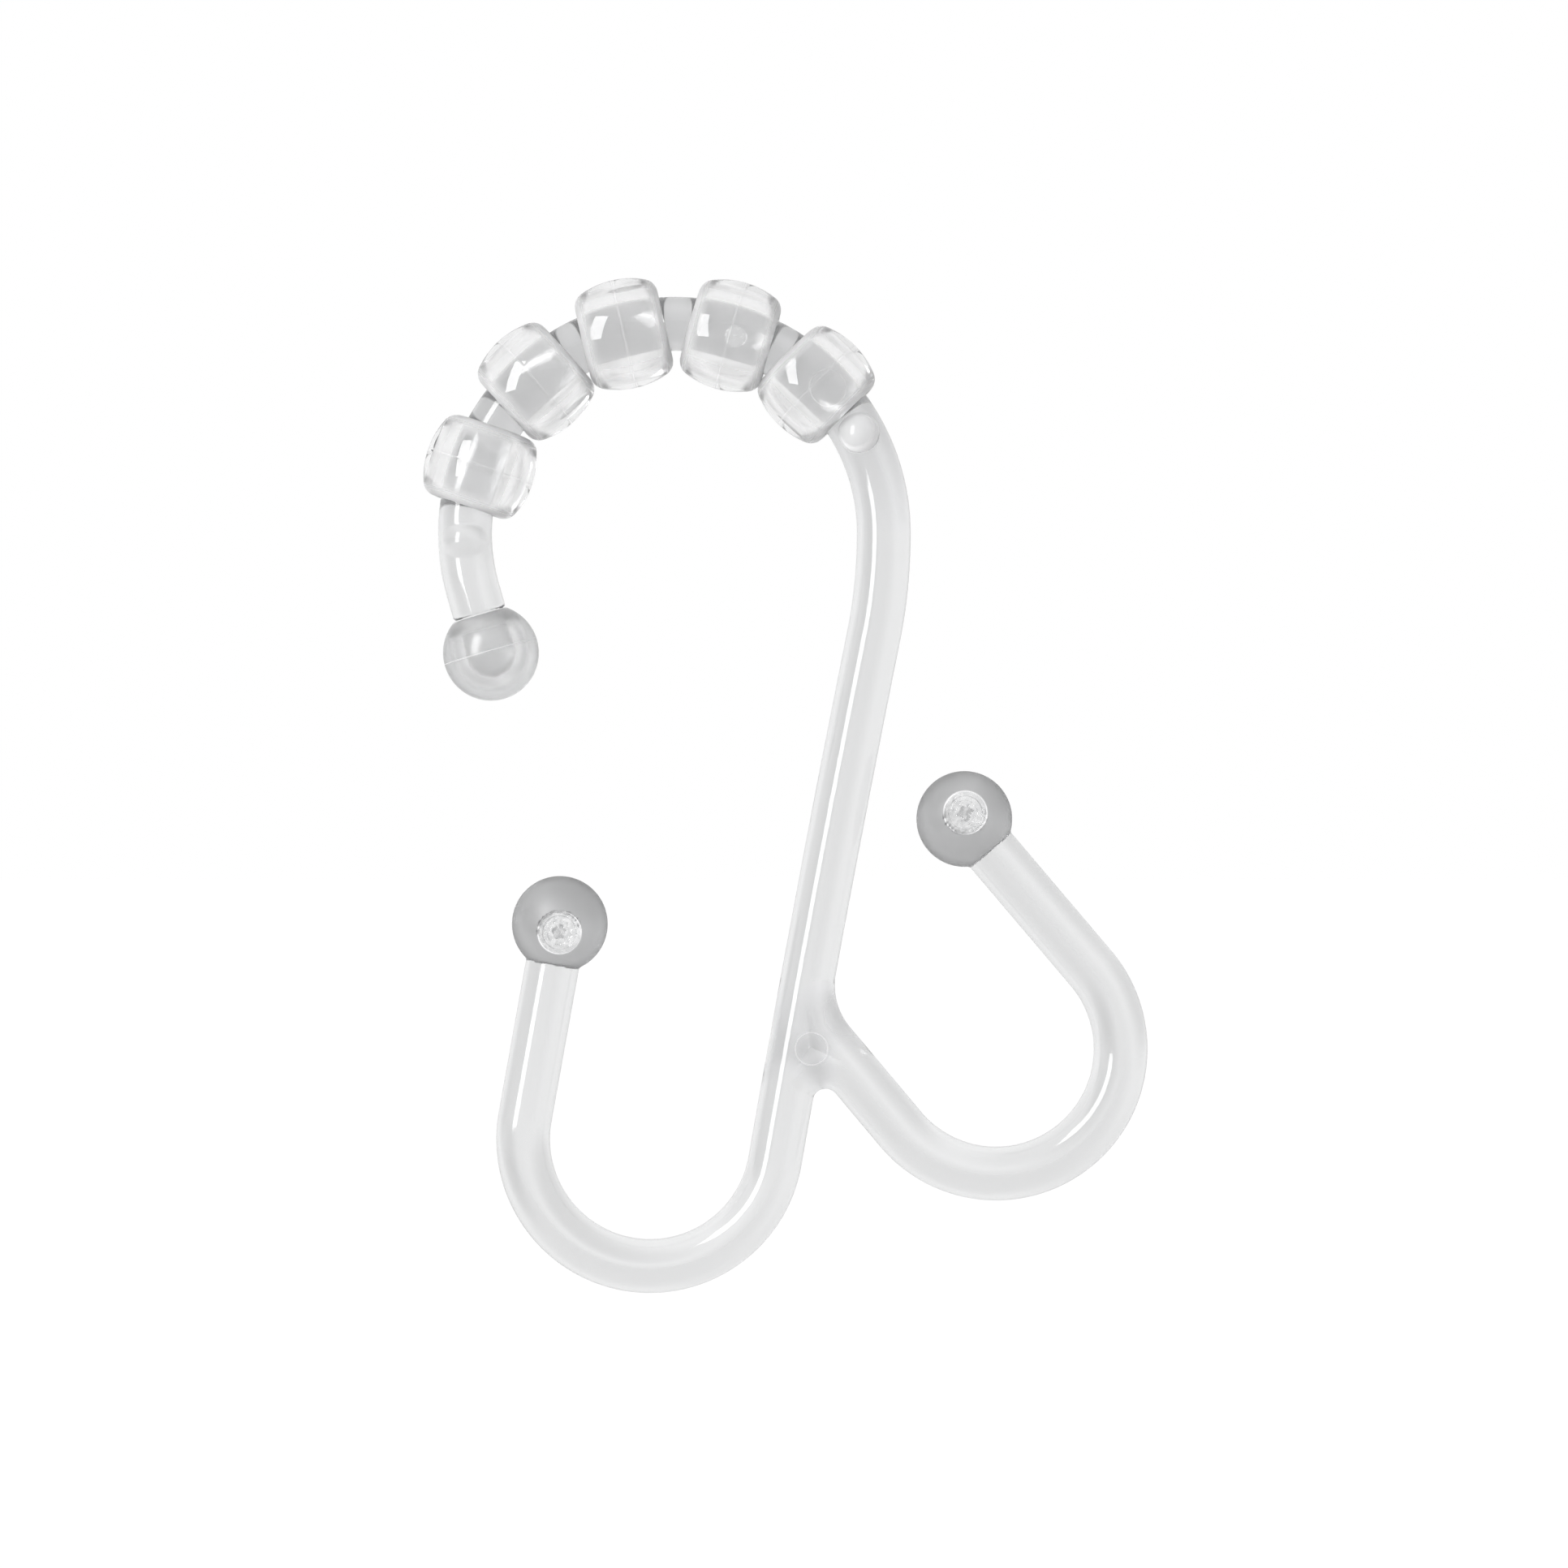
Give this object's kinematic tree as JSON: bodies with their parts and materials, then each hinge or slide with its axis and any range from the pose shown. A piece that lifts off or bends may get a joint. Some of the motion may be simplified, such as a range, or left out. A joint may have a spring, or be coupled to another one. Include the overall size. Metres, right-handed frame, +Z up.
{
  "type": "shower curtain hook",
  "caption": "Clear plastic double shower curtain hook: an arched rod with roller beads over the rail, and a lower hook on each side with a ball end.",
  "frame": {"origin": "middle of the arch, where the shower rail passes through", "axes": "+Z up as the hook hangs, +X towards the shank and the right lower hook, +Y away from the viewer along the rail"},
  "size_m": [0.0646, 0.0098, 0.0905],
  "materials": {
    "hook_plastic": "clear, moulded, glossy",
    "bead_plastic": "clear, moulded, glossy",
    "cap_plastic": "clear, moulded, slightly cloudy"
  },
  "bodies": {
    "hook": {"hook_frame": "hook_plastic", "tip_ball_cap": "cap_plastic"},
    "bead_1": {"roller_bead_1": "bead_plastic"},
    "bead_2": {"roller_bead_2": "bead_plastic"},
    "bead_3": {"roller_bead_3": "bead_plastic"},
    "bead_4": {"roller_bead_4": "bead_plastic"},
    "bead_5": {"roller_bead_5": "bead_plastic"}
  },
  "joints": [
    {"name": "bead_1_roll", "type": "hinge", "parent": "hook", "child": "bead_1", "pos_m": [-0.01728, 0, 0.006], "axis": [0.3283, 0, 0.9446], "continuous": true},
    {"name": "bead_2_roll", "type": "hinge", "parent": "hook", "child": "bead_2", "pos_m": [-0.01221, 0, 0.01362], "axis": [0.7444, 0, 0.6677], "continuous": true},
    {"name": "bead_3_roll", "type": "hinge", "parent": "hook", "child": "bead_3", "pos_m": [-0.0041, 0, 0.01783], "axis": [0.9746, 0, 0.2241], "continuous": true},
    {"name": "bead_4_roll", "type": "hinge", "parent": "hook", "child": "bead_4", "pos_m": [0.00504, 0, 0.01758], "axis": [0.9613, 0, -0.2754], "continuous": true},
    {"name": "bead_5_roll", "type": "hinge", "parent": "hook", "child": "bead_5", "pos_m": [0.01292, 0, 0.01295], "axis": [0.708, 0, -0.7062], "continuous": true}
  ]
}
